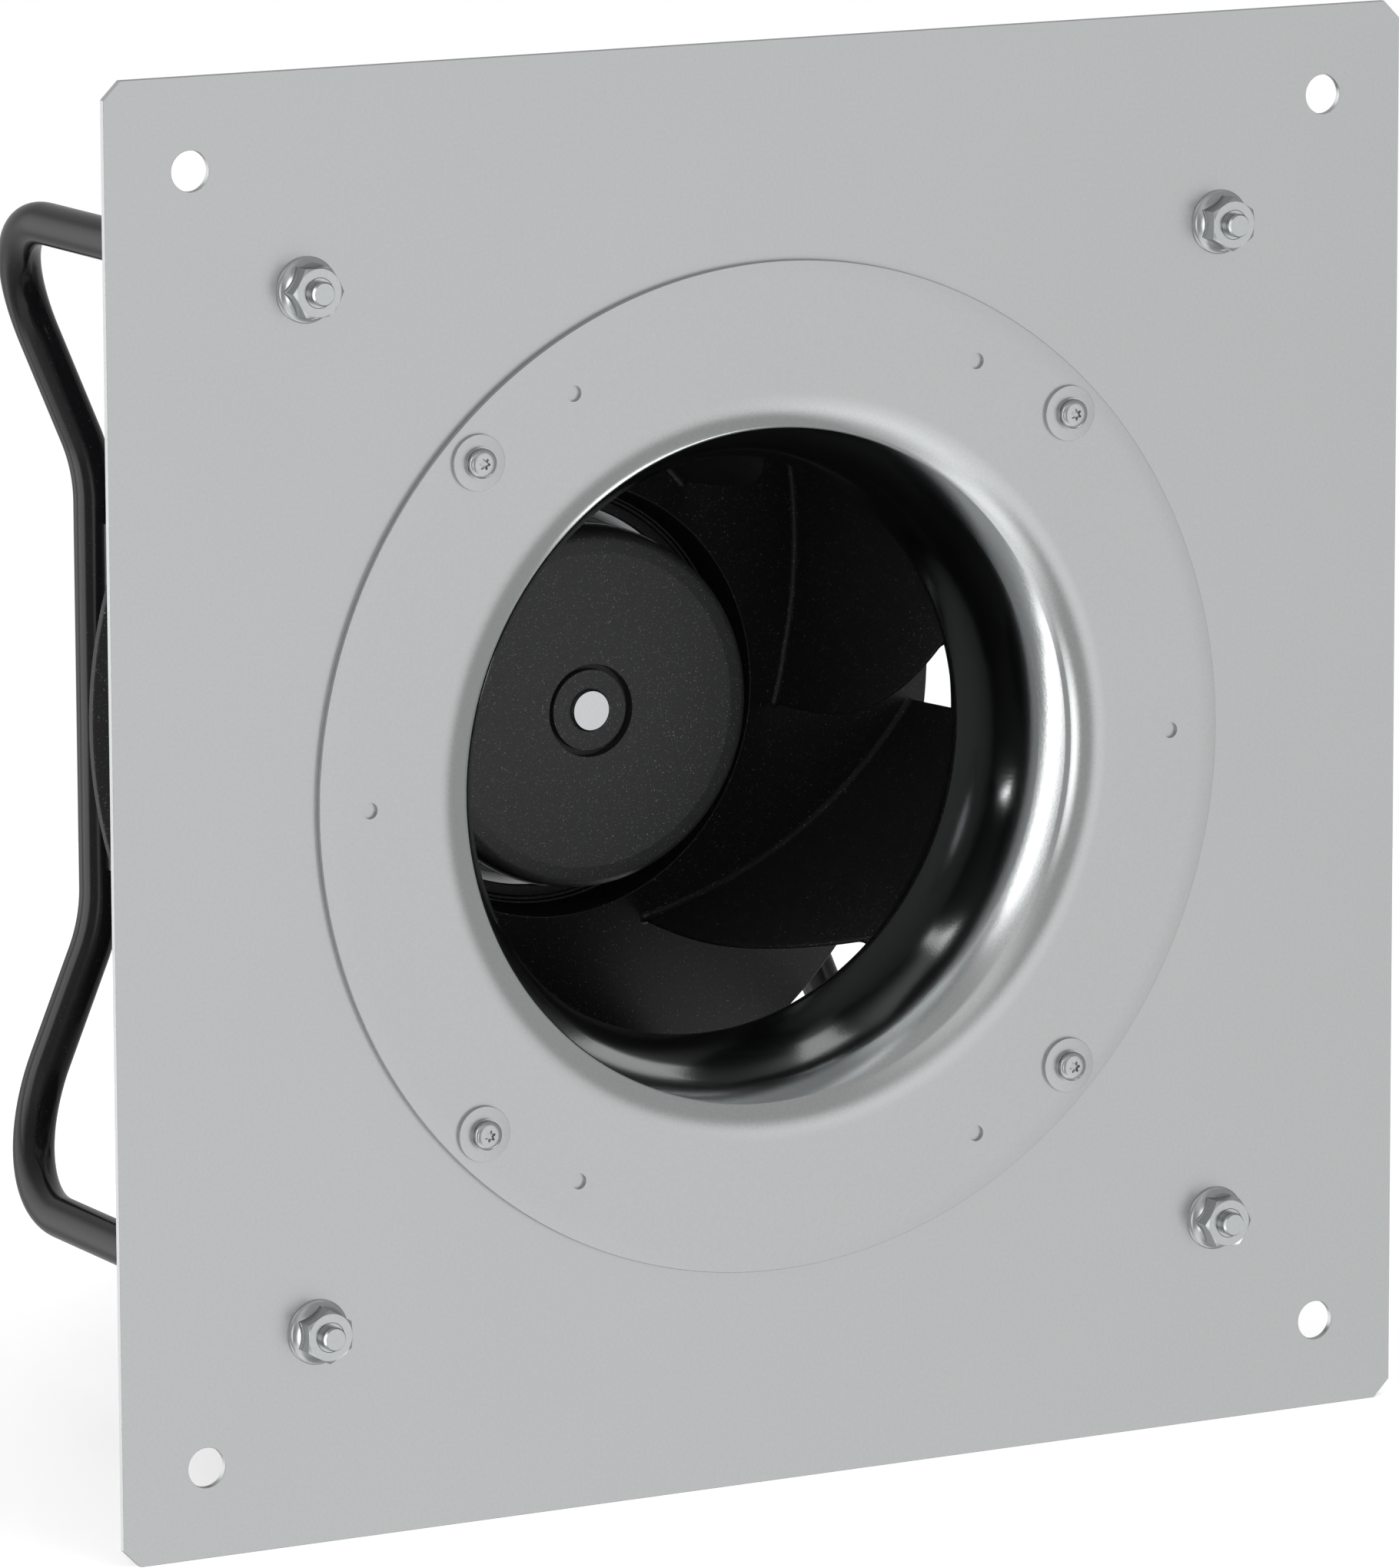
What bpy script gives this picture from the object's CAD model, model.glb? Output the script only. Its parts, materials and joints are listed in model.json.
# %% [markdown]
# This lesson dresses a centrifugal fan module: a square zinc coated plate with a drawn inlet
# nozzle, and behind it a black impeller that turns on an external rotor motor. The solids come
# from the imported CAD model, which is a fixed frame, so every new surface goes where it says.

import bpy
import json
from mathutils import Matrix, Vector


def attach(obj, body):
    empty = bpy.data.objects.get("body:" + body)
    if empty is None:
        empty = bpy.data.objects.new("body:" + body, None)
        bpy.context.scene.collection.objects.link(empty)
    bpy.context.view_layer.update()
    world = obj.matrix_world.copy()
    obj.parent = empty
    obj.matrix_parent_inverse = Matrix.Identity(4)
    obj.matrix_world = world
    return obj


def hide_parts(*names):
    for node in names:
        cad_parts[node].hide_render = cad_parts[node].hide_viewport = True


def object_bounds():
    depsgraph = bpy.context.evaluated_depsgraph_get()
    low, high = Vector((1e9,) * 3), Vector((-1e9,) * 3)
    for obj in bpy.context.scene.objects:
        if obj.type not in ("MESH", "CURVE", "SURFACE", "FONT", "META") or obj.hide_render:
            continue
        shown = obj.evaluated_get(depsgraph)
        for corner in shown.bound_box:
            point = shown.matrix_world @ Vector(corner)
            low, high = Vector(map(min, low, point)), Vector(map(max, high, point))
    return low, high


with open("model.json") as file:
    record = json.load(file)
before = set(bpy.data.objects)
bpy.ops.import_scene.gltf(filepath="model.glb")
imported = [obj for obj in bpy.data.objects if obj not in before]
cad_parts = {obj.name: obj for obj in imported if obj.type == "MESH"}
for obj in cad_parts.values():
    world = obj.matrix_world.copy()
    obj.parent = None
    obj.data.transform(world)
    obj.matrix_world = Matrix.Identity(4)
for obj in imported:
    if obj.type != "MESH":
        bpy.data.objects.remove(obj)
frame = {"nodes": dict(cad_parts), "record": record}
cad_low, cad_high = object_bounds()
print("CAD box", [round(v, 4) for v in cad_low], [round(v, 4) for v in cad_high])

# %% Tools and the unit
import json
import math

import bmesh
import bpy
import numpy as np
from mathutils import Matrix, Vector

mm = 0.001
merge_distance = 0.0005
full_turn = 2 * math.pi
scene = bpy.context.scene

# %% [markdown]
# A shape here is a grid of points, worked out with numpy as whole arrays. A grid that closes both
# ways is a shell with no border: a profile that goes round a wall, turned about the fan's axis.
# Points that fall together, at a pole for example, are merged afterwards, so poles are closed too.

# %% From a grid of points to a piece
def cells(rows, columns, first, closed_rows):
    """Corner numbers of a grid's four sided faces. The columns always close on themselves."""
    number = first + np.arange(rows * columns).reshape(rows, columns)
    ahead = np.roll(number, -1, axis=0)
    corners = np.stack(
        [number, ahead, np.roll(ahead, -1, axis=1), np.roll(number, -1, axis=1)], axis=-1
    )
    return (corners if closed_rows else corners[:-1]).reshape(-1, 4)


def clean(mesh, sharp_angle):
    """Merges points that coincide, turns the faces outwards and smooths all but sharp edges."""
    shell = bmesh.new()
    shell.from_mesh(mesh)
    bmesh.ops.remove_doubles(shell, verts=shell.verts, dist=merge_distance * mm)
    bmesh.ops.recalc_face_normals(shell, faces=shell.faces)
    shell.to_mesh(mesh)
    shell.free()
    mesh.shade_smooth()
    mesh.set_sharp_from_angle(angle=math.radians(sharp_angle))


def place(name, mesh, body, finish, nodes):
    """Puts a finished mesh into the scene, on its body, in the place of its CAD nodes."""
    made = bpy.data.objects.new(name, mesh)
    scene.collection.objects.link(made)
    mesh.materials.clear()
    mesh.materials.append(finish)
    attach(made, body)
    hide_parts(*nodes)
    print(name, "stands for", ", ".join(nodes), "and has", len(mesh.polygons), "faces")
    return made


def shell_mesh(name, grids, sharp_angle, closed_rows=True):
    """Mesh from grids of shape (rows, columns, 3) in millimetres."""
    first = np.cumsum([0] + [grid.shape[0] * grid.shape[1] for grid in grids])
    points = np.concatenate([grid.reshape(-1, 3) for grid in grids]) * mm
    faces = [
        cells(grid.shape[0], grid.shape[1], start, closed_rows)
        for grid, start in zip(grids, first)
    ]
    mesh = bpy.data.meshes.new(name)
    mesh.from_pydata(points, [], np.concatenate(faces))
    clean(mesh, sharp_angle)
    return mesh


def piece(name, grids, body, finish, nodes, sharp_angle=25.0, closed_rows=True):
    """One piece of the fan from its grids."""
    mesh = shell_mesh(name, grids, sharp_angle, closed_rows)
    return place(name, mesh, body, finish, nodes)


def solid_copy(thing):
    """Mesh of an object after its modifiers or its curve's bevel."""
    bpy.context.view_layer.update()
    return bpy.data.meshes.new_from_object(
        thing.evaluated_get(bpy.context.evaluated_depsgraph_get())
    )


# %% Profiles, and turning them about the fan's axis
def rounded(corners, cuts, steps=4):
    """Closed profile with soft corners.

    A and B lie one cut before and after a corner P. The corner becomes the curve
    (1 - t)^2 A + 2 t (1 - t) P + t^2 B. A cut is at most just under half of either side.
    """
    corner = np.array(corners, float)
    share = np.linspace(0, 1, steps + 1)[None, :, None]
    ends = []
    for step in (1, -1):
        side = np.roll(corner, step, axis=0) - corner
        length = np.linalg.norm(side, axis=1, keepdims=True)
        cut = np.minimum(np.broadcast_to(cuts, len(corner))[:, None], 0.49 * length)
        ends.append((corner + side / length * cut)[:, None, :])
    curve = (1 - share) ** 2 * ends[0] + 2 * share * (1 - share) * corner[:, None, :]
    return (curve + share**2 * ends[1]).reshape(-1, 2)


def lathe(profile, steps=240):
    """Turns a profile of (radius, depth) about Y: x = r cos a, y = depth, z = r sin a."""
    angle = np.linspace(0, full_turn, steps, endpoint=False)
    radius, depth = np.array(profile, float).T[:, :, None]
    return np.stack([radius * np.cos(angle), depth + 0 * angle, radius * np.sin(angle)], axis=-1)


def turned(grid, turn):
    """The grid turned about the fan's axis, so that a point at angle a comes to a + turn."""
    x, y, z = np.moveaxis(grid, -1, 0)
    c, s = math.cos(turn), math.sin(turn)
    return np.stack([x * c - z * s, y, x * s + z * c], axis=-1)


def stood(radius, angle, height, spot, facing):
    """A fastener's grid, given as radius, angle and height over its seat.

    spot is (x, depth, z) of the seat's middle, and facing is -1 towards the inlet or 1 to the back.
    """
    radius, angle, height = np.broadcast_arrays(radius, angle, height)
    along = np.stack([radius * np.cos(angle), facing * height, radius * np.sin(angle)], axis=-1)
    return along + np.array(spot, float)


def round_places(radius, angles):
    """Places (x, z) on a circle round the fan's axis."""
    return [(radius * math.cos(a), radius * math.sin(a)) for a in angles]


print("helpers ready")

# %% [markdown]
# The camera stands a little to the left of the fan's axis and above it, far away and with a long
# lens, so the square plate hardly narrows. Its place and its turn were solved from the plate's
# corners and holes, and are written as angles and a distance from the plate's middle.

# %% The camera
photo_height = 2040
focal_length_in_pixels = 13535.97
camera_place = Vector((-1358.85, -2447.56, 503.44)) * mm
camera_heading = math.radians(28.616)
camera_dip = math.radians(10.278)
camera_roll = math.radians(-0.242)

lens = bpy.data.cameras.new("camera")
lens.lens = focal_length_in_pixels * lens.sensor_width / photo_height
lens.clip_start = 0.05
lens.clip_end = 50
camera = bpy.data.objects.new("camera", lens)
scene.collection.objects.link(camera)
camera.matrix_world = (
    Matrix.Translation(camera_place)
    @ Matrix.Rotation(-camera_heading, 4, "Z")
    @ Matrix.Rotation(math.radians(90) - camera_dip, 4, "X")
    @ Matrix.Rotation(camera_roll, 4, "Z")
)
scene.camera = camera
print("lens", round(lens.lens, 1), "mm")

# %% [markdown]
# Polished metal is drawn by what stands round it. Reflected rays therefore see a studio: a wide
# bright panel beside the fan on the left, a small one low on the right, a paler one in front on
# the right, a light floor on the left and a dim rest. Rays that light dull surfaces see an even
# pale grey, so that their colours look as they are written.

# %% Small tools for node trees
def add(tree, kind, inputs=None, **properties):
    """Adds a node, sets its properties, and sets or links its inputs by name or number."""
    made = tree.nodes.new(kind)
    for name, value in properties.items():
        setattr(made, name, value)
    for name, value in (inputs or {}).items():
        socket = made.inputs[name]
        if isinstance(value, bpy.types.NodeSocket):
            tree.links.new(value, socket)
        else:
            socket.default_value = value
    return made


def maths(tree, operation, *values, clamp=False):
    """A Math node's result for these values or sockets."""
    inputs = dict(enumerate(values))
    return add(tree, "ShaderNodeMath", inputs, operation=operation, use_clamp=clamp).outputs[0]


# %% The studio round the fan
dull_level = 0.80
dim_room = 0.46
white = (1, 1, 1, 1)

# Heading in degrees from behind the fan, clockwise from above, and height over the horizon.
# Each panel: heading, half width, soft edge, height, half height, soft edge, added brightness.
studio_panels = [
    (-76, 22, 12, 0, 40, 30, 3.20),
    (-35, 14, 20, 0, 40, 30, 1.10),
    (-150, 6, 14, -9, 14, 24, 1.70),
    (86, 11, 12, -46, 10, 12, 3.80),
    (-135, 50, 40, -56, 20, 24, 0.70),
    (-140, 45, 40, 36, 16, 24, 0.30),
    (157, 16, 18, -14, 30, 28, 0.68),
    (172, 26, 26, -50, 14, 24, 0.30),
]

world = bpy.data.worlds.new("studio")
scene.world = world
world.use_nodes = True
sky = world.node_tree
sky.nodes.clear()
sky_place = add(sky, "ShaderNodeTexCoord").outputs["Generated"]
direction = add(sky, "ShaderNodeSeparateXYZ", {0: sky_place})
heading = maths(sky, "ARCTAN2", direction.outputs["X"], direction.outputs["Y"])
heading = maths(sky, "DEGREES", heading)
height = maths(sky, "DEGREES", maths(sky, "ARCSINE", direction.outputs["Z"]))


def window(distance, half, soft):
    """1 inside the half width, 0 outside it, with a smooth edge as wide as soft."""
    inputs = {"Value": distance, 1: half + soft / 2, 2: half - soft / 2, 3: 0.0, 4: 1.0}
    return add(sky, "ShaderNodeMapRange", inputs, interpolation_type="SMOOTHSTEP").outputs[0]


glow = dim_room
for aim, half_width, side_soft, tilt, half_height, rim_soft, brightness in studio_panels:
    away = maths(sky, "PINGPONG", maths(sky, "SUBTRACT", heading, aim), 180.0)
    above = maths(sky, "ABSOLUTE", maths(sky, "SUBTRACT", height, tilt))
    mask = maths(
        sky, "MULTIPLY", window(away, half_width, side_soft), window(above, half_height, rim_soft)
    )
    glow = maths(sky, "MULTIPLY_ADD", mask, brightness, glow)
rays = add(sky, "ShaderNodeLightPath")
seen_in_metal = add(
    sky, "ShaderNodeMix", {0: rays.outputs["Is Glossy Ray"], 2: dull_level, 3: glow}
)
seen_by_camera = add(
    sky, "ShaderNodeMix", {0: rays.outputs["Is Camera Ray"], 2: seen_in_metal.outputs[0], 3: 1.0}
)
light = add(
    sky, "ShaderNodeBackground", {"Color": white, "Strength": seen_by_camera.outputs[0]}
)
add(sky, "ShaderNodeOutputWorld", {"Surface": light.outputs[0]})
print("studio panels", len(studio_panels))

# %% Soft lamps
fan_middle = Vector((0, 0.1, 0))


def panel_lamp(name, spot, width, height, power):
    """Rectangular lamp that looks at the fan's middle. Metal doesn't show it."""
    lamp = bpy.data.lights.new(name, "AREA")
    lamp.shape = "RECTANGLE"
    lamp.size = width
    lamp.size_y = height
    lamp.energy = power
    made = bpy.data.objects.new(name, lamp)
    scene.collection.objects.link(made)
    made.location = spot
    aim = fan_middle - made.location
    made.rotation_euler = aim.to_track_quat("-Z", "Y").to_euler()
    made.visible_glossy = False
    return made


left_panel = panel_lamp("left_panel", (-1.6, -1.3, 1.1), 1.0, 1.4, 16)
top_panel = panel_lamp("top_panel", (0.5, -1.0, 2.2), 1.4, 1.0, 12)
print("lamps", left_panel.name, top_panel.name)

# %% [markdown]
# The fan stands on the plate's lower edge. A pale floor under it keeps a soft shadow, and is
# lifted to white for the camera alone, so it runs into the white background without an edge.

# %% The floor
floor_radius = 0.9
floor_colour = 0.80
floor_lift = 0.38

floor_mesh = bpy.data.meshes.new("floor")
floor_shell = bmesh.new()
bmesh.ops.create_circle(floor_shell, cap_ends=True, segments=96, radius=floor_radius)
floor_shell.to_mesh(floor_mesh)
floor_shell.free()
floor_mesh.transform(Matrix.Translation((0, 0.1, cad_low[2])))
floor = bpy.data.objects.new("floor", floor_mesh)
scene.collection.objects.link(floor)
floor.visible_glossy = False

floor_paint = bpy.data.materials.new("floor_paint")
floor_paint.use_nodes = True
paint = floor_paint.node_tree
paint.nodes.clear()
floor_rays = add(paint, "ShaderNodeLightPath")
lift = maths(paint, "MULTIPLY", floor_rays.outputs["Is Camera Ray"], floor_lift)
floor_dull = add(paint, "ShaderNodeBsdfDiffuse", {"Color": (floor_colour,) * 3 + (1,)})
floor_glow = add(paint, "ShaderNodeEmission", {"Color": white, "Strength": lift})
floor_sum = add(paint, "ShaderNodeAddShader", {0: floor_dull.outputs[0], 1: floor_glow.outputs[0]})
add(paint, "ShaderNodeOutputMaterial", {"Surface": floor_sum.outputs[0]})
floor_mesh.materials.append(floor_paint)
print("floor at", round(cad_low[2], 4))

# %% [markdown]
# Two effects come back in most finishes. A fine grain, a few tenths of a millimetre across,
# breaks up the colour and the shine of coated and cast metal. Sparse pale specks lie on dark
# surfaces. Each is one node group, placed in every material with its own values.

# %% Node groups for grain and for specks
clouds_per_metre = 14.0
cloud_share = 0.35
speck_contrast = 14.0


def new_group(name, inputs, outputs):
    """An empty shader node group with named value sockets."""
    group = bpy.data.node_groups.new(name, "ShaderNodeTree")
    for label, value in inputs:
        socket = group.interface.new_socket(label, in_out="INPUT", socket_type="NodeSocketFloat")
        socket.default_value = value
    for label in outputs:
        group.interface.new_socket(label, in_out="OUTPUT", socket_type="NodeSocketFloat")
    return group, add(group, "NodeGroupInput"), add(group, "NodeGroupOutput")


grain_group, grain_in, grain_out = new_group(
    "grain", [("Grains per metre", 900.0), ("Amount", 0.1)], ["Tone", "Height"]
)
grain_place = add(grain_group, "ShaderNodeTexCoord").outputs["Object"]
grain_fine = add(
    grain_group,
    "ShaderNodeTexNoise",
    {"Vector": grain_place, "Scale": grain_in.outputs["Grains per metre"], "Detail": 3.0},
)
grain_cloud = add(
    grain_group,
    "ShaderNodeTexNoise",
    {"Vector": grain_place, "Scale": clouds_per_metre, "Detail": 2.0},
)
grain_both = maths(
    grain_group,
    "MULTIPLY_ADD",
    maths(grain_group, "SUBTRACT", grain_cloud.outputs[0], 0.5),
    cloud_share,
    maths(grain_group, "SUBTRACT", grain_fine.outputs[0], 0.5),
)
grain_tone = maths(grain_group, "MULTIPLY_ADD", grain_both, grain_in.outputs["Amount"], 1.0)
grain_group.links.new(grain_tone, grain_out.inputs["Tone"])
grain_group.links.new(grain_fine.outputs[0], grain_out.inputs["Height"])

speck_group, speck_in, speck_out = new_group(
    "specks", [("Specks per metre", 1600.0), ("Threshold", 0.66)], ["Mask"]
)
speck_place = add(speck_group, "ShaderNodeTexCoord").outputs["Object"]
speck_noise = add(
    speck_group,
    "ShaderNodeTexNoise",
    {"Vector": speck_place, "Scale": speck_in.outputs["Specks per metre"], "Detail": 1.0},
)
speck_rise = maths(speck_group, "SUBTRACT", speck_noise.outputs[0], speck_in.outputs["Threshold"])
speck_mask = maths(speck_group, "MULTIPLY", speck_rise, speck_contrast, clamp=True)
speck_group.links.new(speck_mask, speck_out.inputs["Mask"])
print("groups", grain_group.name, speck_group.name)


# %% A finish from a colour, a shine, a grain and specks
speck_colour = (0.60, 0.60, 0.60, 1)
coat_roughness = 0.06


def finish(name, colour, roughness, metallic=0.0, grains=900.0, amount=0.1, bump=0.02,
           speck=0.0, speck_threshold=0.66, speck_size=2300.0, coat=0.0, level=0.5):
    """Material for one of the fan's surfaces.

    Colour = written colour x grain tone, then a pale speck where the mask says so.
    Roughness = written roughness x grain tone. The grain's height feeds a Bump node.
    """
    material = bpy.data.materials.new(name)
    material.use_nodes = True
    tree = material.node_tree
    tree.nodes.clear()
    grain = add(tree, "ShaderNodeGroup", node_tree=grain_group)
    grain.inputs["Grains per metre"].default_value = grains
    grain.inputs["Amount"].default_value = amount
    toned = add(
        tree, "ShaderNodeVectorMath", {0: colour, 1: grain.outputs["Tone"]}, operation="MULTIPLY"
    )
    specks = add(tree, "ShaderNodeGroup", node_tree=speck_group)
    specks.inputs["Specks per metre"].default_value = speck_size
    specks.inputs["Threshold"].default_value = speck_threshold
    share = maths(tree, "MULTIPLY", specks.outputs["Mask"], speck)
    mixed = add(
        tree, "ShaderNodeMix", {0: share, 6: toned.outputs[0], 7: speck_colour}, data_type="RGBA"
    )
    rough = maths(tree, "MULTIPLY", grain.outputs["Tone"], roughness, clamp=True)
    relief = add(
        tree,
        "ShaderNodeBump",
        {"Height": grain.outputs["Height"], "Strength": 1.0, "Distance": bump * mm},
    )
    shader = add(
        tree,
        "ShaderNodeBsdfPrincipled",
        {
            "Base Color": mixed.outputs[2],
            "Roughness": rough,
            "Metallic": metallic,
            "Specular IOR Level": level,
            "Coat Weight": coat,
            "Coat Roughness": coat_roughness,
            "Normal": relief.outputs[0],
        },
    )
    add(tree, "ShaderNodeOutputMaterial", {"Surface": shader.outputs[0]})
    return material


# %% A turned band of bare metal on a painted piece
def shader_of(material):
    """The Principled node of a finish."""
    return next(node for node in material.node_tree.nodes if node.type == "BSDF_PRINCIPLED")


def object_axes(tree):
    """The shaded point's X, Y and Z in its object's own axes."""
    spot = add(tree, "ShaderNodeTexCoord").outputs["Object"]
    return add(tree, "ShaderNodeSeparateXYZ", {0: spot}).outputs


def bare_band(material, front, back, colour, roughness):
    """Where the depth y lies between front and back, the paint gives way to bright metal."""
    tree = material.node_tree
    shader = shader_of(material)
    paint_colour = shader.inputs["Base Color"].links[0].from_socket
    paint_rough = shader.inputs["Roughness"].links[0].from_socket
    middle, half_band = (front + back) / 2, (back - front) / 2
    bare = maths(tree, "COMPARE", object_axes(tree)["Y"], middle * mm, half_band * mm)
    mixed = add(
        tree, "ShaderNodeMix", {0: bare, 6: paint_colour, 7: colour + (1,)}, data_type="RGBA"
    )
    rough = add(tree, "ShaderNodeMix", {0: bare, 2: paint_rough, 3: roughness})
    tree.links.new(mixed.outputs[2], shader.inputs["Base Color"])
    tree.links.new(rough.outputs[0], shader.inputs["Roughness"])
    tree.links.new(bare, shader.inputs["Metallic"])


# %% The drawn mouth shines more than the flat sheet round it
def drawn_shine(material, inner_radius, outer_radius, share):
    """Roughness is multiplied by a share inside one radius, and smoothly by 1 outside the other."""
    tree = material.node_tree
    shader = shader_of(material)
    flat_rough = shader.inputs["Roughness"].links[0].from_socket
    spot = object_axes(tree)
    across = maths(tree, "POWER", spot["X"], 2.0)
    upwards = maths(tree, "POWER", spot["Z"], 2.0)
    radius = maths(tree, "SQRT", maths(tree, "ADD", across, upwards))
    ramp = {"Value": radius, 1: inner_radius * mm, 2: outer_radius * mm, 3: share, 4: 1.0}
    part = add(tree, "ShaderNodeMapRange", ramp, interpolation_type="SMOOTHSTEP").outputs[0]
    tree.links.new(maths(tree, "MULTIPLY", flat_rough, part), shader.inputs["Roughness"])


# %% The finishes
# Each: colour, roughness, metallic, grains per metre, grain amount, relief in millimetres, and
# for dusty surfaces the specks' strength and threshold.
drawn_radius = 97.0
flat_sheet_radius = 104.5
drawn_roughness_share = 0.34

zinc_sheet = finish("zinc_sheet", (0.55, 0.565, 0.567), 0.38, 1.0, 1100, 0.16, 0.004)
nozzle_zinc = finish("nozzle_zinc", (0.55, 0.565, 0.567), 0.38, 1.0, 1300, 0.16, 0.008)
drawn_shine(nozzle_zinc, drawn_radius, flat_sheet_radius, drawn_roughness_share)
zinc_fastener = finish("zinc_fastener", (0.47, 0.485, 0.49), 0.20, 1.0, 900, 0.14, 0.003)
black_plastic = finish(
    "black_plastic", (0.010, 0.010, 0.011), 0.40, 0.0, 2200, 0.5, 0.012, 0.35, 0.69, level=0.28
)
rotor_paint = finish("rotor_paint", (0.030, 0.031, 0.031), 0.50, 0.0, 1800, 0.7, 0.03, 0.30, 0.66)
black_tube = finish(
    "black_tube", (0.007, 0.007, 0.008), 0.16, 0.0, 420, 0.3, 0.015, 0.12, 0.72,
    coat=0.10, level=0.20,
)
flange_metal = finish("flange_metal", (0.55, 0.56, 0.57), 0.34, 1.0, 1200, 0.2, 0.004)
steel = finish("steel", (0.56, 0.57, 0.58), 0.24, 1.0, 1500, 0.12, 0.002)
magnet = finish("magnet", (0.045, 0.045, 0.05), 0.55, 0.3, 1200, 0.2, 0.01)
cast_aluminium = finish("cast_aluminium", (0.42, 0.43, 0.44), 0.50, 1.0, 1300, 0.35, 0.05)
lamination = finish("lamination", (0.30, 0.31, 0.33), 0.45, 1.0, 2500, 0.3, 0.01)
copper_wire = finish("copper_wire", (0.60, 0.24, 0.09), 0.32, 0.9, 900, 0.3, 0.05)
board_green = finish("board_green", (0.02, 0.14, 0.06), 0.38, 0.0, 900, 0.15, 0.01)
component_case = finish("component_case", (0.03, 0.03, 0.035), 0.35, 0.0, 1200, 0.2, 0.01)
gasket_rubber = finish("gasket_rubber", (0.018, 0.018, 0.018), 0.70, 0.0, 1500, 0.3, 0.02)
gland_plastic = finish("gland_plastic", (0.028, 0.028, 0.030), 0.48, 0.0, 2000, 0.3, 0.02)
print("finishes", len(bpy.data.materials))

# %% [markdown]
# Every CAD node first gets the finish of its own material slot. The motor's inner pieces keep
# their solids, because only glimpses of them show between the rotor and the end shield.

# %% Finishes for the CAD nodes
finish_of_slot = {
    "zinc_sheet": zinc_sheet, "zinc_fastener": zinc_fastener, "black_tube": black_tube,
    "black_plastic": black_plastic, "rotor_paint": rotor_paint, "flange_metal": flange_metal,
    "steel": steel, "magnet": magnet, "cast_aluminium": cast_aluminium,
    "lamination": lamination, "copper_wire": copper_wire, "board": board_green,
    "component_case": component_case, "gasket_rubber": gasket_rubber,
    "gland_plastic": gland_plastic,
}
slot_of_node = {part["node"]: part["material_slot"] for part in frame["record"]["subparts"]}
for node_name, cad_object in frame["nodes"].items():
    cad_object.data.materials.clear()
    cad_object.data.materials.append(finish_of_slot[slot_of_node[node_name]])
print("CAD nodes with a finish", len(slot_of_node))

# %% [markdown]
# The support plate is a punched sheet: flat, with round holes and edges that the punch left
# slightly soft. A flat curve with holes, thickened and given a small bevel, is the shortest way
# to such a sheet, and it becomes a mesh before it is put in its place.

# %% The support plate
plate_width = 400.0
plate_thickness = 2.0
corner_cut = 5.0
plate_opening_radius = 106.0
plate_edge_bevel = 0.15
mount_hole_radius = 5.5
mount_hole_offset = 175.0
stud_hole_radius = 4.5
stud_circle_radius = 200.0
stud_offset = stud_circle_radius / math.sqrt(2)
screw_hole_radius = 2.25
nozzle_screw_offset = 91.8


def circle_points(x, z, radius, count):
    """Points on a circle in the sheet's own plane."""
    angle = np.linspace(0, full_turn, count, endpoint=False)
    return np.stack([x + radius * np.cos(angle), z + radius * np.sin(angle)], axis=-1)


def square_places(offset):
    """The four places at plus and minus an offset."""
    return [(x, z) for x in (-offset, offset) for z in (-offset, offset)]


half = plate_width / 2
inner = half - corner_cut
outline = np.array([
    (-half, -inner), (-inner, -half), (inner, -half), (half, -inner),
    (half, inner), (inner, half), (-inner, half), (-half, inner),
])
holes = [circle_points(0, 0, plate_opening_radius, 240)]
for offset, radius, count in (
    (mount_hole_offset, mount_hole_radius, 64),
    (stud_offset, stud_hole_radius, 48),
    (nozzle_screw_offset, screw_hole_radius, 32),
):
    holes += [circle_points(x, z, radius, count) for x, z in square_places(offset)]


def sheet_from_outlines(name, outlines, thickness, bevel):
    """Flat curve with holes, thickened on both sides of its plane and bevelled."""
    curve = bpy.data.curves.new(name, "CURVE")
    curve.dimensions = "2D"
    curve.fill_mode = "BOTH"
    curve.extrude = (thickness / 2 - bevel) * mm
    curve.bevel_depth = bevel * mm
    curve.bevel_resolution = 0
    curve.offset = -bevel * mm
    for points in outlines:
        spline = curve.splines.new("POLY")
        spline.points.add(len(points) - 1)
        flat = np.column_stack([points * mm, np.zeros(len(points)), np.ones(len(points))])
        spline.points.foreach_set("co", flat.ravel())
        spline.use_cyclic_u = True
    holder = bpy.data.objects.new(name + "_curve", curve)
    scene.collection.objects.link(holder)
    mesh = solid_copy(holder)
    bpy.data.objects.remove(holder)
    return mesh


plate_mesh = sheet_from_outlines("plate", [outline] + holes, plate_thickness, plate_edge_bevel)
plate_mesh.transform(
    Matrix.Translation((0, plate_thickness / 2 * mm, 0)) @ Matrix.Rotation(math.radians(90), 4, "X")
)
clean(plate_mesh, 20.0)
place("plate_sheet", plate_mesh, "root", zinc_sheet, ["support_plate"])

# %% [markdown]
# The nozzle is one drawn sheet. Its mouth turns in over a wide and then a tighter arc, and a long
# wall leads the air to the throat, so a turned profile gives all of it. The six small holes are
# shallow recesses in the flange. Four round bosses are pressed up under the screws with steep
# sides. Each is a disc of its own: the grid is too wide.

# %% The inlet nozzle
sheet = 2.0
flange_radius = 140.0
mouth_radius = 104.3
throat_radius = 81.3
throat_depth = 42.6
nozzle_end = 46.0
lip_flare = 1.2
boss_radius = 7.8
boss_height = 1.2
tap_circle_radius = 125.0
sixths = np.arange(6) * full_turn / 6
tap_hole_radius = 2.25
tap_hole_floor = -0.9
nozzle_sharp_angle = 35.0
wide_turn, wide_bend = 17.6, 33.0
tight_turn, tight_bend = 4.8, 55.0
slope_run, slope_bend = 8.5, 61.0
last_bend_power = 0.86


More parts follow.
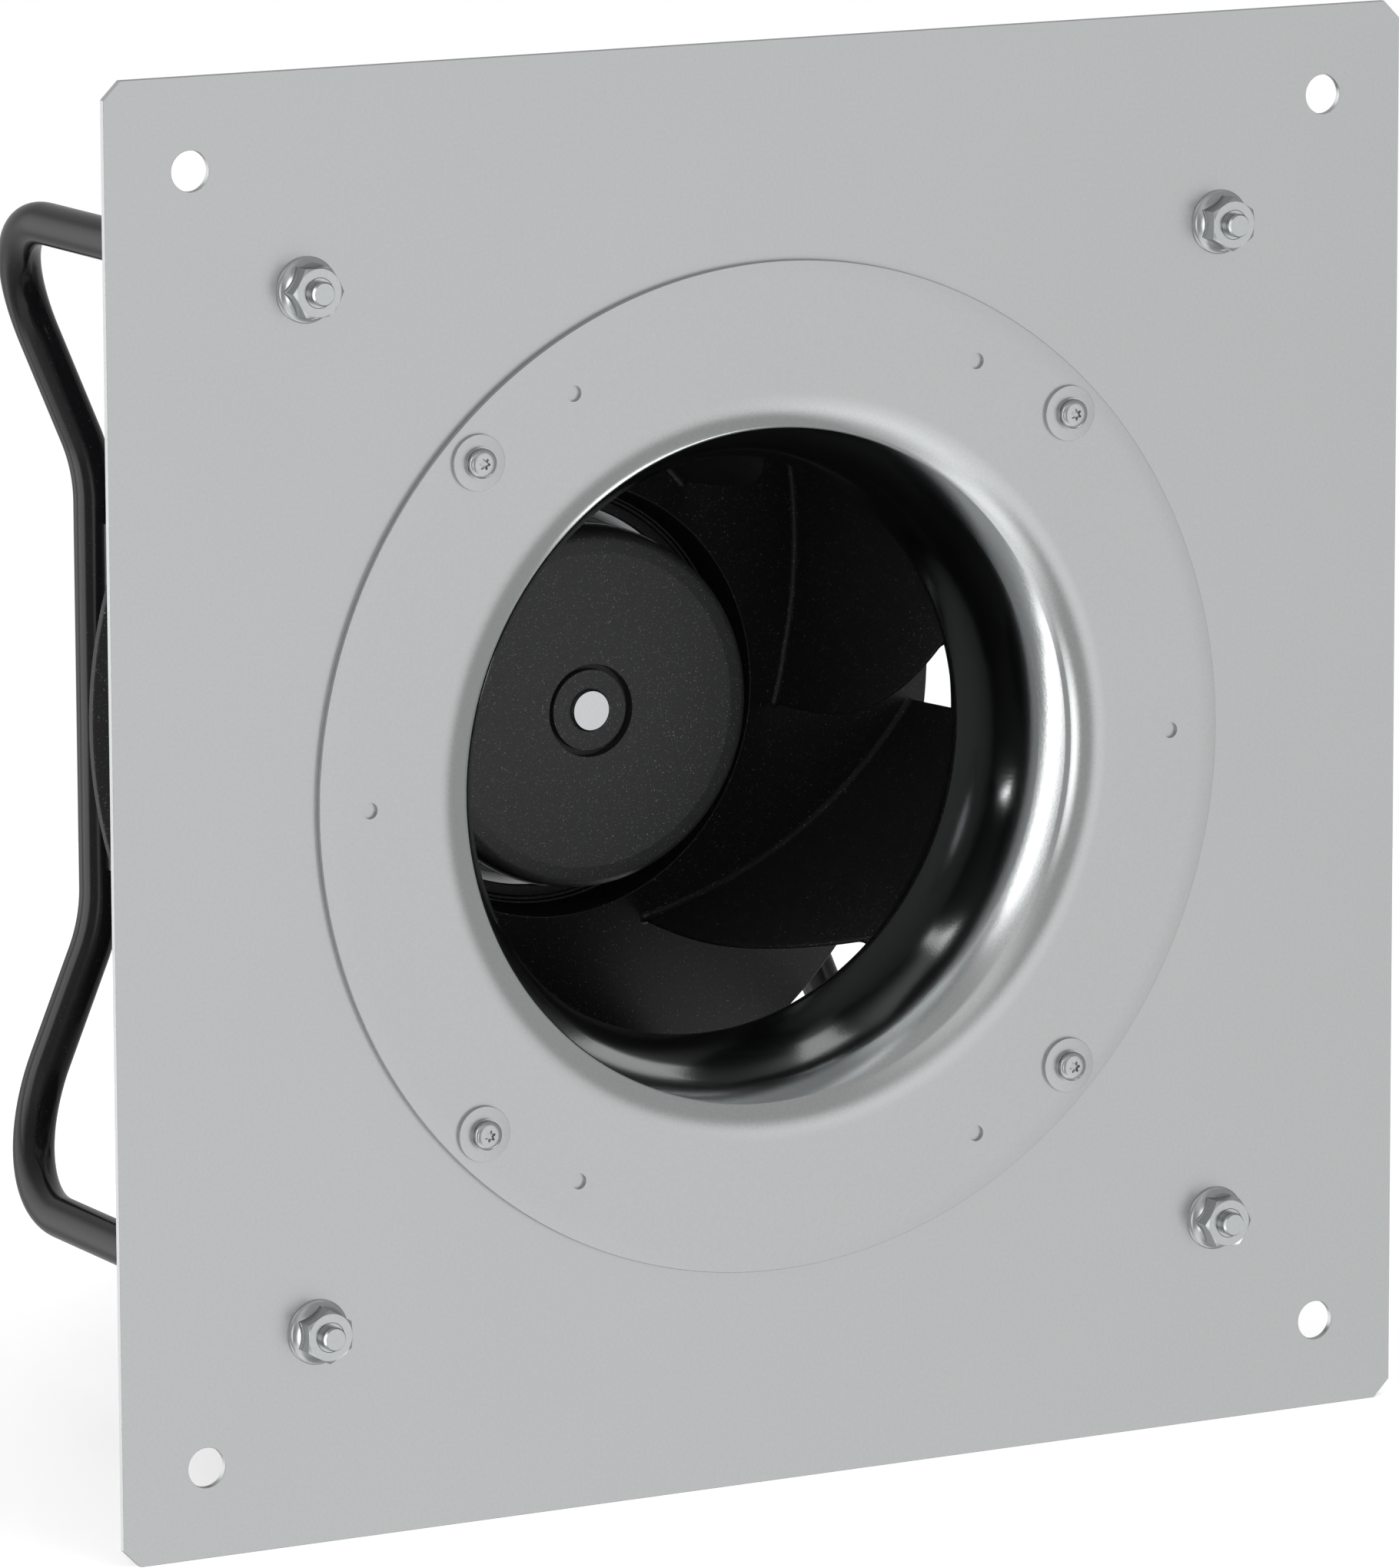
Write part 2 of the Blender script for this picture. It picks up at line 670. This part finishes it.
def mouth_wall(count):
    """The drawn wall's inner face from the flange to the throat, as points and normals.

    The tilt rises evenly over a wide arc, over a tight one and over a nearly straight slope. From
    there it nears 90 degrees as a power of the way, and that part is stretched to the throat.
    """
    way = np.linspace(0, 1, count)
    first = wide_bend * way
    second = wide_bend + (tight_bend - wide_bend) * way
    third = tight_bend + (slope_bend - tight_bend) * way
    fourth = slope_bend + (90 - slope_bend) * way**last_bend_power
    tilt = np.radians(np.concatenate([first, second[1:], third[1:], fourth[1:]]))
    lengths = [
        wide_turn * math.radians(wide_bend), tight_turn * math.radians(tight_bend - wide_bend),
        slope_run, throat_depth - slope_run,
    ]
    run = np.repeat(np.array(lengths) / (count - 1), count - 1)
    middle_tilt = (tilt[1:] + tilt[:-1]) / 2
    step = np.column_stack([-np.cos(middle_tilt), np.sin(middle_tilt)]) * run[:, None]
    points = np.concatenate([[(0, 0)], np.cumsum(step, axis=0)]) + (mouth_radius, -sheet)
    start = 3 * (count - 1)
    wanted = np.array([throat_radius, throat_depth]) - points[start]
    stretch = wanted / (points[-1] - points[start])
    points[start:] = points[start] + (points[start:] - points[start]) * stretch
    return points, np.column_stack([np.sin(tilt), np.cos(tilt)])


wall, wall_normal = mouth_wall(20)
flat_radii = np.array([139.4, 134.0, 128.0, 122.0, 116.0, 110.0])
front_flat = np.column_stack([flat_radii, np.full(len(flat_radii), -sheet)])
back_flat = np.column_stack([flat_radii[::-1], np.zeros(len(flat_radii))])
nozzle_profile = np.concatenate([
    front_flat,
    wall,
    [(throat_radius + 0.5 * lip_flare, 44.3), (throat_radius + lip_flare - 0.1, nozzle_end - 0.3)],
    [(throat_radius + lip_flare + 0.2, nozzle_end)],
    [(throat_radius + lip_flare + sheet - 0.3, nozzle_end)],
    [(throat_radius + lip_flare + sheet, nozzle_end - 0.3)],
    (wall + sheet * wall_normal)[::-1],
    back_flat,
    [(139.85, -0.05), (flange_radius, -0.3), (flange_radius, -1.7), (139.85, -1.95)],
])

nozzle = piece(
    "nozzle_sheet", [lathe(nozzle_profile, 300)], "root", nozzle_zinc,
    ["inlet_nozzle"], nozzle_sharp_angle,
)


# %% Holes in the nozzle's flange
def drill(target, grids):
    """Takes the space inside the grids' closed shells out of a piece."""
    bit = bpy.data.objects.new("drill", shell_mesh("drill", grids, 25.0))
    scene.collection.objects.link(bit)
    cut = target.modifiers.new("holes", "BOOLEAN")
    cut.operation = "DIFFERENCE"
    cut.solver = "EXACT"
    cut.object = bit
    drilled = solid_copy(target)
    target.modifiers.clear()
    clean(drilled, nozzle_sharp_angle)
    target.data = drilled
    bpy.data.objects.remove(bit)
    print(target.name, "drilled", len(grids), "times, now", len(drilled.polygons), "faces")


def rod(spot, radius, front, back, steps=40):
    """A round bar along Y, closed at both ends."""
    profile = np.array([(0, front), (radius, front), (radius, back), (0, back)], float)
    return lathe(profile, steps) + np.array([spot[0], 0, spot[1]])


drill(nozzle, [
    rod(spot, tap_hole_radius, -2 * sheet, tap_hole_floor)
    for spot in round_places(tap_circle_radius, sixths)
])

# %% Bosses under the screws
boss_face = -(sheet + boss_height)
boss_profile = rounded(
    [(0, boss_face), (boss_radius - 0.1, boss_face), (boss_radius, -1.9), (0, -1.9)],
    [0.0, 0.12, 0.0, 0.0],
)
bosses = [
    lathe(boss_profile, 96) + np.array([x, 0, z]) for x, z in square_places(nozzle_screw_offset)
]
piece("nozzle_bosses", bosses, "root", zinc_sheet, ["inlet_nozzle"], 30.0)

# %% [markdown]
# The fasteners are small but sit in front. A screw head's recess has six lobes, so its radius is
# a wave round the axis. A nut's sides follow the distance to a hexagon, and its turned chamfer is
# a cone: where the two meet, the real nut's curved corners come by themselves.

# %% Screw heads with a six lobed recess
# Shares of the head's radius or height. The floor's height is measured from the seat.
recess_radius = 0.335
recess_wave = 0.085
recess_floor_share = 0.90
recess_mouth_share = 0.97
recess_floor_height = 0.42
crown_share = 0.60
crown_fall = 0.09
edge_share = 0.30


def screw_head(head_radius, head_height, spot, facing, turn=0.0, columns=72):
    """Pan head: recess floor, recess wall, domed top, round side and flat seat."""
    angle = np.linspace(0, full_turn, columns, endpoint=False)
    lobe = head_radius * (recess_radius + recess_wave * np.cos(6 * (angle - turn)))[None, :]
    out = np.linspace(0, 1, 9)[:, None]
    crown = lobe + (crown_share * head_radius - lobe) * out
    top = head_height * (1 - crown_fall * (crown / head_radius) ** 2)
    bend = np.linspace(0, math.pi / 2, 7)[:, None]
    edge_height = edge_share * head_height
    shoulder = head_height * (1 - crown_fall * crown_share**2) - edge_height
    side = head_radius * (crown_share + (1 - crown_share) * np.sin(bend)) + 0 * angle
    side_height = edge_height + shoulder * np.cos(bend) + 0 * angle
    flat = np.ones((1, columns))
    radius = np.concatenate([
        0 * flat, recess_floor_share * lobe, recess_mouth_share * lobe, crown, side,
        head_radius * flat, 0 * flat,
    ])
    floor_height = recess_floor_height * head_height
    height = np.concatenate([
        (floor_height - 0.15) * flat, floor_height * flat, (top[0, 0] - 0.10) * flat,
        top, side_height, 0 * flat, 0 * flat,
    ])
    return stood(radius, angle, height, spot, facing)


# The shank fills the groove under the head. Known fault: the solids' radius is 2.0, and behind
# the plate this thicker one hides the nuts.
nozzle_head_radius = 4.1
nozzle_head_height = 1.7
collar_height = 1.2
collar_radius = 4.4
collar_groove = 0.15
shank_radius = 3.8
shank_end = 7.0
collar_face = boss_face - collar_height
nozzle_heads = [
    screw_head(
        nozzle_head_radius, nozzle_head_height, (x, collar_face - collar_groove, z), -1, turn
    )
    for (x, z), turn in zip(square_places(nozzle_screw_offset), (0.3, 0.9, 0.1, 0.6))
]
collars = [
    rod(spot, collar_radius, collar_face, boss_face + 0.1, 64)
    for spot in square_places(nozzle_screw_offset)
]
shanks = [
    rod(spot, shank_radius, collar_face - 0.3, shank_end, 48)
    for spot in square_places(nozzle_screw_offset)
]
piece(
    "nozzle_pan_screws", nozzle_heads + collars + shanks, "root", zinc_fastener,
    ["nozzle_screws"],
)

# %% Flange nuts and stud ends
nut_width = 13.0
nut_height = 8.0
nut_flange_radius = 8.95
nut_flange_edge = 0.8
nut_cone_top = 3.0
nut_flange_soft = 0.25
nut_chamfer_start = 0.497 * nut_width
nut_chamfer_angle = math.radians(30)
nut_bore_edge = 0.12
stud_radius = 4.0
stud_tip_radius = 3.3
stud_front = -11.0
stud_end = 22.0
thread_gap = 0.05


def flange_nut(spot, turn, columns=144):
    """Nut whose side radius is w / 2 / cos(a) from the nearest flat's middle.

    The chamfer drops by tan 30 from the chamfer's start, and the flange is a hollow cone.
    """
    angle = np.linspace(0, full_turn, columns, endpoint=False)
    from_flat = np.mod(angle - turn, full_turn / 6) - full_turn / 12
    side = (nut_width / 2 / np.cos(from_flat))[None, :]
    out = np.linspace(0, 1, 7)[:, None]
    flat = np.ones((1, columns))
    chamfer = nut_chamfer_start + (side - nut_chamfer_start) * out
    chamfer_height = nut_height - (chamfer - nut_chamfer_start) * math.tan(nut_chamfer_angle)
    cone = side + (nut_flange_radius - nut_flange_soft - side) * out
    reach = (cone - nut_width / 2) / (nut_flange_radius - nut_width / 2)
    cone_height = nut_flange_edge + (nut_cone_top - nut_flange_edge) * (1 - reach) ** 2
    bore = stud_radius + thread_gap
    radius = np.concatenate([
        bore * flat, bore * flat, (bore + nut_bore_edge) * flat, chamfer, cone,
        nut_flange_radius * flat, nut_flange_radius * flat,
    ])
    height = np.concatenate([
        0 * flat, (nut_height - nut_bore_edge) * flat, nut_height * flat, chamfer_height,
        cone_height, (nut_flange_edge - nut_flange_soft) * flat, 0 * flat,
    ])
    return stood(radius, angle, height, spot, -1)


corner_turns = [(-1, -1, 30.0), (-1, 1, 60.0), (1, -1, 60.0), (1, 1, 30.0)]
nuts = [
    flange_nut((sx * stud_offset, 0.0, sz * stud_offset), math.radians(turn))
    for sx, sz, turn in corner_turns
]
piece("hex_flange_nuts", nuts, "root", zinc_fastener, ["flange_nuts"], 22.0)

stud_profile = np.array([
    (0, stud_front), (2.9, stud_front), (stud_tip_radius, -10.4), (stud_tip_radius, -7.95),
    (stud_radius, -7.95), (stud_radius, stud_end), (0, stud_end),
], float)
studs = [lathe(stud_profile, 64) + np.array([x, 0, z]) for x, z in square_places(stud_offset)]
piece("stud_ends", studs, "root", zinc_fastener, ["stud_bolts"], 22.0)

# %% [markdown]
# The two brackets are round tubes, bent four times each and coated in glossy black. A tube is a
# circle carried along a path. None of its runs lies along X, so X gives every ring a steady
# first direction, and the rings don't twist.

# %% Bracket tubes
tube_radius = 6.0
tube_depth = 201.0
tube_back_offset = 109.35
tube_back_half = 65.8
bend_radii = (40.0, 50.0, 50.0, 40.0)


def bent_path(corners, radii, steps=24):
    """Straight runs joined by true arcs, with the tangent at every point.

    For a corner with unit directions p before and n after and an angle w between them, the arc
    is centre + R (-k cos a + p sin a), with k the unit vector from the corner's inside.
    """
    corners = np.array(corners, float)
    points, tangents = [corners[:1]], []
    for corner, before, after, radius in zip(corners[1:-1], corners[:-2], corners[2:], radii):
        p = (corner - before) / np.linalg.norm(corner - before)
        n = (after - corner) / np.linalg.norm(after - corner)
        swing = math.acos(np.clip(p @ n, -1, 1))
        start = corner - p * radius * math.tan(swing / 2)
        inside = (n - p * (p @ n)) / math.sin(swing)
        a = np.linspace(0, swing, steps)[:, None]
        points.append(start + inside * radius * (1 - np.cos(a)) + p * radius * np.sin(a))
        tangents.append(p * np.cos(a) + inside * np.sin(a))
    points.append(corners[-1:])
    first, last = tangents[0][:1], tangents[-1][-1:]
    return np.concatenate(points), np.concatenate([first] + tangents + [last])


def tube(side):
    """Rings of the tube's radius square to the path, closed by a point at each end."""
    corners = [
        (side * stud_offset, plate_thickness, stud_offset),
        (side * stud_offset, tube_depth, stud_offset),
        (side * tube_back_offset, tube_depth, tube_back_half),
        (side * tube_back_offset, tube_depth, -tube_back_half),
        (side * stud_offset, tube_depth, -stud_offset),
        (side * stud_offset, plate_thickness, -stud_offset),
    ]
    centre, tangent = bent_path(corners, bend_radii)
    first = np.cross([1.0, 0, 0], tangent)
    first /= np.linalg.norm(first, axis=1, keepdims=True)
    second = np.cross(tangent, first)
    angle = np.linspace(0, full_turn, 48, endpoint=False)[None, :, None]
    ring = first[:, None, :] * np.cos(angle) + second[:, None, :] * np.sin(angle)
    rows = np.concatenate([[0], np.arange(len(centre)), [-1]])
    size = np.concatenate([[0], np.full(len(centre), tube_radius), [0]])[:, None, None]
    return centre[rows][:, None, :] + ring[rows] * size


for title, side, tube_node in (
    ("left_bracket", -1, "left_tube"), ("right_bracket", 1, "right_tube"),
):
    piece(
        title, [tube(side)], "root", black_tube, [tube_node], 60.0,
        closed_rows=False,
    )

# %% [markdown]
# The rotor is a painted cup whose face is flat with a wide soft edge. Round the shaft lies a
# slightly lower disc inside a narrow groove. All of it is one turned profile, and so are the
# bright end of the shaft and the ring of bare metal that carries the impeller.

# %% Rotor cup, shaft and rotor flange
rotor_radius = 51.3
rotor_front = 106.8
rotor_back = 168.0
band_front = 118.0
band_back = 126.0
band_radius = 52.1
rotor_profile = rounded(
    [
        (6.05, 107.65), (11.6, 107.65), (11.6, 110.4), (13.2, 110.4), (13.2, rotor_front),
        (44.9, rotor_front), (rotor_radius, 107.8), (rotor_radius, band_front),
        (band_radius, band_front), (band_radius, band_back), (rotor_radius, band_back),
        (rotor_radius, rotor_back),
        (48.3, rotor_back), (48.3, 112.3), (12.0, 112.3), (12.0, 122.0), (6.05, 122.0),
    ],
    [0.1, 0.25, 0.1, 0.1, 0.25, 0.25, 6.0, 0.05, 0.2, 0.2, 0.05, 0.4, 0.4, 1.0, 1.0, 0.3, 0.2],
    steps=12,
)
bare_band(rotor_paint, band_front, band_back, (0.60, 0.61, 0.61), 0.30)
piece(
    "rotor_shell", [lathe(rotor_profile)], "rotor", rotor_paint, ["rotor_cup"], 7.0
)

shaft_profile = [
    (0, 106.5), (5.55, 106.5), (6.0, 106.95), (6.0, 180.2), (5.6, 180.2), (5.6, 181.2),
    (6.0, 181.2), (6.0, 182.8), (5.6, 183.2), (0, 183.2),
]
piece("shaft_bar", [lathe(shaft_profile, 96)], "rotor", steel, ["shaft"], 20.0)

flange_profile = rounded(
    [
        (51.35, 142.2), (52.6, 142.2), (52.6, 141.0), (72.0, 141.0), (72.0, 143.0),
        (51.35, 143.0),
    ],
    [0.1, 0.1, 0.1, 0.3, 0.3, 0.15],
    steps=2,
)
piece(
    "rotor_ring", [lathe(flange_profile)], "rotor", flange_metal, ["rotor_flange"]
)

# %% [markdown]
# The impeller is moulded plastic: a cone shaped hub behind, a curved shroud in front and six
# blades between them. Hub and shroud are turned profiles with soft edges.

# %% Hub and shroud
impeller_radius = 134.7
lip_radius = 62.4
lip_depth = 127.0
hub_slope = 0.328
hub_wall = 2.6
shroud_radius = 85.8
shroud_wall = 2.5
shroud_front = 40.0
bend_depth = 40.6
shroud_bend = 44.0
cone_angle = math.radians(28.0)
bend_points = 28
hub_screw_circle = 66.5
hub_screw_seat = 143.0
hub_screw_tip = 133.2
back_screw_radius = 2.0


def hub_depth(radius):
    """Depth of the hub's flow side: a cone that starts at the lip."""
    return lip_depth + hub_slope * (radius - lip_radius)


rim_depth = hub_depth(impeller_radius)
hub_profile = rounded(
    [
        (lip_radius, lip_depth), (impeller_radius, rim_depth),
        (impeller_radius, rim_depth + hub_wall), (63.6, hub_depth(63.6) + hub_wall),
        (63.6, 141.0), (55.2, 141.0), (55.2, 138.6), (58.2, 138.6), (58.6, 139.5), (59.5, 139.5),
        (59.8, 138.4), (60.4, 138.4),
    ],
    [0.5, 0.6, 0.6, 1.5, 0.5, 0.3, 0.3, 0.2, 0.2, 0.2, 0.15, 0.25],
    steps=5,
)
hub_screw_places = round_places(hub_screw_circle, sixths)
hub_boss_profile = [(0, 133.0), (4.5, 133.0), (4.5, 140.7), (4.2, 141.0), (0, 141.0)]
hub_bosses = [lathe(hub_boss_profile, 40) + np.array([x, 0, z]) for x, z in hub_screw_places]
piece(
    "hub_cone", [lathe(hub_profile, 288)] + hub_bosses, "rotor", black_plastic,
    ["impeller_hub"],
)


def shroud_line(wall):
    """Neck, bend and cone of one side of the shroud, as far from the flow side as wall says."""
    radius = shroud_bend - wall
    angle = np.linspace(math.pi, math.pi / 2 + cone_angle, bend_points)
    bend = np.column_stack([
        shroud_radius + shroud_bend + radius * np.cos(angle), bend_depth + radius * np.sin(angle)
    ])
    rise = (impeller_radius - bend[-1, 0]) * math.tan(cone_angle)
    rim = (impeller_radius, bend[-1, 1] + rise)
    return np.concatenate([[(shroud_radius + wall, shroud_front)], bend, [rim]])


flow_line = shroud_line(0)
outer_line = shroud_line(shroud_wall)
corner_cuts = np.zeros(2 * len(flow_line))
corner_cuts[[0, len(flow_line) - 1, len(flow_line), -1]] = 0.5
shroud_profile = rounded(np.concatenate([flow_line, outer_line[::-1]]), corner_cuts, 3)
piece(
    "shroud_ring", [lathe(shroud_profile, 288)], "rotor", black_plastic,
    ["impeller_shroud"], 30.0,
)

# %% [markdown]
# A blade's section is a band along an arc that bulges away from the axis, with a thin round nose
# and a square tail. The nose drifts, flares and turns as it nears the shroud, which gives the sweep
# seen in the photograph. Near the hub and the shroud the band thickens into a small fillet.

# %% Blade sections
blade_count = 6
blade_thickness = 3.2
camber_radius = 168.0
fillet_radius = 1.6
nose_share = 0.38
nose_run = 0.16


def polar(radius, angle):
    """Point in the plane across the axis, the angle in degrees from the right and upwards."""
    a = np.radians(angle)
    return np.stack([radius * np.cos(a), radius * np.sin(a)], axis=-1)


def nose_point(depth):
    """Radius 73.5 + 5 s + 7 s^6 and angle -6.2 + 18.7 s^3, with s = (130 - depth) / 75."""
    s = (130.0 - depth) / 75.0
    return polar(73.5 + 5.0 * s + 7.0 * np.maximum(s, 0) ** 6, -6.2 + 18.7 * s**3)


def tail_point(depth):
    """Radius 129.8 + 0.09 f and angle 53.3 + 0.014 f, with f = 148.9 - depth."""
    forward = 148.9 - depth
    return polar(129.8 + 0.09 * forward, 53.3 + 0.014 * forward)


def band_half(along):
    """Half of the band's thickness: thin at the nose, full after a soft rise 3 v^2 - 2 v^3."""
    v = np.clip(along / nose_run, 0, 1)
    return blade_thickness / 2 * (nose_share + (1 - nose_share) * v * v * (3 - 2 * v))


def blade_point(along, across, ahead, depth, half_thickness):
    """Point of a section: camber arc at along, plus normal x across plus tangent x ahead.

    The arc's centre lies inwards of the chord's middle by sqrt(R^2 - (chord / 2)^2).
    """
    nose, tail = nose_point(depth), tail_point(depth)
    reach = tail - nose
    start = nose + reach / np.linalg.norm(reach, axis=-1, keepdims=True) * band_half(0)
    chord = tail - start
    length = np.linalg.norm(chord, axis=-1, keepdims=True)
    inwards = np.stack([-chord[..., 1], chord[..., 0]], axis=-1) / length
    centre = (start + tail) / 2 + inwards * np.sqrt(camber_radius**2 - (length / 2) ** 2)
    spoke = start - centre
    first = np.arctan2(spoke[..., 1], spoke[..., 0])
    angle = first + along * 2 * np.arcsin(length[..., 0] / 2 / camber_radius)
    normal = np.stack([np.cos(angle), np.sin(angle)], axis=-1)
    tangent = np.stack([-np.sin(angle), np.cos(angle)], axis=-1)
    sideways = normal * (across * half_thickness)[..., None]
    forwards = tangent * (ahead * half_thickness)[..., None]
    return centre + normal * camber_radius + (sideways + forwards)


def section_outline(side_steps=48, nose_steps=12, tail_steps=5):
    """Numbers along, across and ahead for points once round the section."""
    run = np.linspace(0, 1, side_steps) ** 1.25
    cap = np.linspace(-math.pi / 2, math.pi / 2, nose_steps)[1:-1]
    end = np.linspace(1, -1, tail_steps)[1:-1]
    along = np.concatenate([run, 1 + 0 * end, run[::-1], 0 * cap])
    across = np.concatenate([1 + 0 * run, end, -1 + 0 * run, np.sin(cap)])
    ahead = np.concatenate([0 * run, 0 * end, 0 * run, -np.cos(cap)])
    return along, across, ahead


# %% Where a blade meets the hub and the shroud
def shroud_flow_radius(depth):
    """Radius of the shroud's flow side at a depth: neck, then bend, then cone."""
    cone_start = flow_line[-2]
    bend = shroud_radius + shroud_bend - np.sqrt(
        np.maximum(shroud_bend**2 - np.clip(depth - bend_depth, 0, None) ** 2, 0)
    )
    cone = cone_start[0] + (depth - cone_start[1]) / math.tan(cone_angle)
    return np.where(depth < cone_start[1], bend, cone)


def meeting_depth(outline, low, high, inside, halvings=26):
    """Depth where each line of the blade leaves the flow passage, found by halving."""
    low = np.full(len(outline[0]), low)
    high = np.full(len(outline[0]), high)
    for _ in range(halvings):
        middle = (low + high) / 2
        point = blade_point(*outline, middle, band_half(outline[0]) + fillet_radius)
        free = inside(np.linalg.norm(point, axis=-1), middle)
        low, high = np.where(free, middle, low), np.where(free, high, middle)
    return (low + high) / 2


outline_numbers = section_outline()
hub_line = meeting_depth(
    outline_numbers, 100.0, 160.0, lambda radius, depth: depth < hub_depth(radius)
)
shroud_line_depth = meeting_depth(
    outline_numbers, 110.0, 40.0, lambda radius, depth: radius < shroud_flow_radius(depth)
)
print("blade meets hub", hub_line.min().round(1), hub_line.max().round(1))
print("blade meets shroud", shroud_line_depth.min().round(1), shroud_line_depth.max().round(1))


# %% The six blades
def blade_grid(rows=40, fillet_rows=7, sunk=0.4):
    """Rows from the shroud to the hub, closer together in the two fillets.

    Within a fillet of radius F the band grows on each side by F - sqrt(F^2 - (F - d)^2), with d
    the distance to the hub or the shroud.
    """
    near = fillet_radius * (1 - np.cos(np.linspace(0, math.pi / 2, fillet_rows)))
    share = np.linspace(0, 1, rows)[1:-1, None]
    front, back = shroud_line_depth[None, :], hub_line[None, :]
    middle = front + fillet_radius + (back - front - 2 * fillet_radius) * share
    depth = np.concatenate([
        front - sunk, front + near[:, None], middle, back - near[::-1, None], back + sunk
    ])
    gap = np.minimum(depth - front, back - depth)
    left = np.clip(fillet_radius - np.clip(gap, 0, None), 0, None)
    grown = fillet_radius - np.sqrt(fillet_radius**2 - left**2)
    along, across, ahead = (np.broadcast_to(v, depth.shape) for v in outline_numbers)
    point = blade_point(along, across, ahead, depth, band_half(along) + grown)
    radius = np.linalg.norm(point, axis=-1, keepdims=True)
    point = point * np.minimum(1, (impeller_radius - 0.02) / radius)
    return np.stack([point[..., 0], depth, point[..., 1]], axis=-1)


def capped(grid):
    """Closes the first and last ring of a grid with a point in its middle."""
    first = np.repeat(grid[:1].mean(axis=1, keepdims=True), grid.shape[1], axis=1)
    last = np.repeat(grid[-1:].mean(axis=1, keepdims=True), grid.shape[1], axis=1)
    return np.concatenate([first, grid, last])


one_blade = capped(blade_grid())
blades = [turned(one_blade, turn * full_turn / blade_count) for turn in range(blade_count)]
piece(
    "swept_blades", blades, "rotor", black_plastic, ["impeller_blades"], 40.0,
    closed_rows=False,
)

# %% Screws at the back of the impeller
hub_heads = [
    screw_head(3.8, 2.6, (x, hub_screw_seat, z), 1, 0.2 * number)
    for number, (x, z) in enumerate(hub_screw_places)
]
hub_shanks = [
    rod(spot, back_screw_radius, hub_screw_tip, hub_screw_seat, 24) for spot in hub_screw_places
]
piece(
    "impeller_pan_screws", hub_heads + hub_shanks, "rotor", zinc_fastener,
    ["impeller_screws"],
)

# %% [markdown]
# The castings and formed sheets at the back keep the shape of their solids. A CAD mesh is loose
# triangles, which show as facets on metal, so each is copied and its points are merged. Its
# curved sides are shaded smooth, and normals weighted by area keep its large faces flat.

# %% Smooth copies of the solids at the back
def smooth_copy(name, node):
    """Merged, smoothly shaded copy of a CAD node. Its large flat faces stay flat."""
    mesh = frame["nodes"][node].data.copy()
    clean(mesh, 30.0)
    slot = slot_of_node[node]
    made = place(name, mesh, "root", finish_of_slot[slot], [node])
    even = made.modifiers.new("even_normals", "WEIGHTED_NORMAL")
    even.mode = "FACE_AREA"
    even.weight = 100
    even.keep_sharp = True


smooth_copy("carrier_sheet", "motor_carrier")
smooth_copy("end_shield", "stator_housing")
smooth_copy("finned_pot", "electronics_housing")
smooth_copy("pot_cover", "electronics_cover")
smooth_copy("gland_body", "cable_gland")
smooth_copy("gland_cap", "gland_nut")

# %% Screws in the cover
lug_circle_radius = 61.0
lug_seat = 240.5
lug_screw_tip = 226.2
lug_places = round_places(lug_circle_radius, np.radians([45.0, 135.0, 225.0, 315.0]))
cover_heads = [
    screw_head(3.6, 2.4, (x, lug_seat, z), 1, 0.3 * number)
    for number, (x, z) in enumerate(lug_places)
]
cover_shanks = [rod(spot, back_screw_radius, lug_screw_tip, lug_seat, 24) for spot in lug_places]
piece(
    "cover_pan_screws", cover_heads + cover_shanks, "root", zinc_fastener,
    ["cover_screws"],
)

# %% [markdown]
# The picture is shown as the lamps make it, with the plain view transform. The box of the dressed
# model is compared with the box of the solids, because a finish never changes the fan's size.

# %% View settings, sizes and the end
scene.view_settings.view_transform = "Standard"
